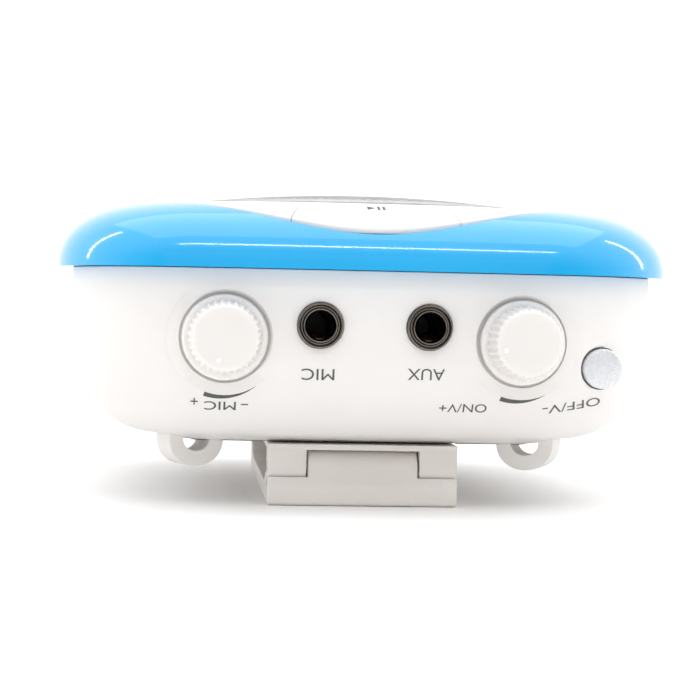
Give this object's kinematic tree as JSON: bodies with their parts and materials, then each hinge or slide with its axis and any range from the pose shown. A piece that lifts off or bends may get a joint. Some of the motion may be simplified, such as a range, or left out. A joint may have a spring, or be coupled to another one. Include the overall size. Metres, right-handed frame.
{
  "type": "portable voice amplifier",
  "caption": "Belt-worn voice amplifier: pillow-edged loudspeaker box with volume knobs, jack sockets, telescopic aerial, strap lugs and a sprung belt clip.",
  "frame": {"origin": "on the belt clip lever's flat underside, which the unit lies on, below the middle of the case's width and length", "axes": "+Z out of the loudspeaker grille, -Y out of the end with the knobs and jacks, +X towards the aerial's side"},
  "size_m": [0.0864, 0.107, 0.0437],
  "materials": {
    "blue_shell": "gloss moulded",
    "white_shell": "satin moulded",
    "white_knob": "satin moulded, ribbed",
    "clip_plastic": "satin moulded",
    "silver_mesh": "silver lacquered perforated sheet",
    "smoked_lens": "polished smoked lens",
    "light_pipe": "frosted clear",
    "steel": "zinc plated",
    "nickel": "dark nickel plated",
    "aerial_chrome": "bright plated brass tube, turned end",
    "black_plastic": "moulded",
    "circuit_board": "solder mask over fibreglass",
    "cone_paper": "pressed paper",
    "magnet_steel": "plated motor",
    "cell_wrap": "shrink sleeve over a steel can"
  },
  "bodies": {
    "housing": {"rear_case": "white_shell", "front_cover": "blue_shell", "control_ring": "white_shell", "speaker_grille": "silver_mesh", "display_window": "smoked_lens", "status_light": "light_pipe", "strap_lug_left": "white_shell", "strap_lug_right": "white_shell", "case_screw_1": "steel", "case_screw_2": "steel", "case_screw_3": "steel", "case_screw_4": "steel", "speaker_frame": "steel", "speaker_cone": "cone_paper", "speaker_magnet": "magnet_steel", "main_board": "circuit_board", "key_board": "circuit_board", "power_board": "circuit_board", "display_module": "black_plastic", "battery_cell": "cell_wrap", "charge_socket": "nickel", "key_switch_1": "black_plastic", "key_switch_2": "black_plastic", "key_switch_3": "black_plastic", "key_switch_4": "black_plastic", "board_screw_left": "steel", "board_screw_right": "steel", "mic_pot_body": "black_plastic", "power_pot_body": "black_plastic", "mic_jack_ferrule": "nickel", "mic_jack_body": "black_plastic", "aux_jack_ferrule": "nickel", "aux_jack_body": "black_plastic", "aerial_sleeve": "aerial_chrome", "clip_bracket": "clip_plastic", "hinge_pin": "steel", "clip_spring": "steel", "bracket_screw_left": "steel", "bracket_screw_right": "steel"},
    "mic_control": {"mic_knob": "white_knob", "mic_shaft": "steel"},
    "power_control": {"power_knob": "white_knob", "power_shaft": "steel"},
    "play_button": {"play_key": "white_shell"},
    "next_button": {"next_key": "white_shell"},
    "mode_button": {"mode_key": "white_shell"},
    "previous_button": {"previous_key": "white_shell"},
    "aerial_first": {"aerial_tube_1": "aerial_chrome"},
    "aerial_second": {"aerial_tube_2": "aerial_chrome"},
    "aerial_third": {"aerial_tube_3": "aerial_chrome"},
    "aerial_tip": {"aerial_rod": "aerial_chrome"},
    "belt_lever": {"clip_lever": "clip_plastic"}
  },
  "joints": [
    {"name": "mic_knob_turn", "type": "hinge", "parent": "housing", "child": "mic_control", "pos_m": [-0.0196, -0.05, 0.0231], "axis": [0, -1, 0], "range_deg": [-134, 166]},
    {"name": "power_knob_turn", "type": "hinge", "parent": "housing", "child": "power_control", "pos_m": [0.0196, -0.05, 0.0231], "axis": [0, -1, 0], "range_deg": [-77, 223]},
    {"name": "play_key_press", "type": "slide", "parent": "housing", "child": "play_button", "axis": [0, 0, -1], "range_m": [0, 0.0005], "stiffness_N_per_m": 1500, "springref_m": -0.0002},
    {"name": "next_key_press", "type": "slide", "parent": "housing", "child": "next_button", "axis": [0, 0, -1], "range_m": [0, 0.0005], "stiffness_N_per_m": 1500, "springref_m": -0.0002},
    {"name": "mode_key_press", "type": "slide", "parent": "housing", "child": "mode_button", "axis": [0, 0, -1], "range_m": [0, 0.0005], "stiffness_N_per_m": 1500, "springref_m": -0.0002},
    {"name": "previous_key_press", "type": "slide", "parent": "housing", "child": "previous_button", "axis": [0, 0, -1], "range_m": [0, 0.0005], "stiffness_N_per_m": 1500, "springref_m": -0.0002},
    {"name": "aerial_first_slide", "type": "slide", "parent": "housing", "child": "aerial_first", "axis": [0, -1, 0], "range_m": [0, 0.062]},
    {"name": "aerial_second_slide", "type": "slide", "parent": "aerial_first", "child": "aerial_second", "axis": [0, -1, 0], "range_m": [0, 0.062]},
    {"name": "aerial_third_slide", "type": "slide", "parent": "aerial_second", "child": "aerial_third", "axis": [0, -1, 0], "range_m": [0, 0.06]},
    {"name": "aerial_tip_slide", "type": "slide", "parent": "aerial_third", "child": "aerial_tip", "axis": [0, -1, 0], "range_m": [0, 0.058]},
    {"name": "belt_lever_open", "type": "hinge", "parent": "housing", "child": "belt_lever", "pos_m": [0, -0.0344, 0.0052], "axis": [-1, 0, 0], "range_deg": [0, 24], "stiffness_Nm_per_rad": 0.35, "springref_deg": -20.05}
  ]
}
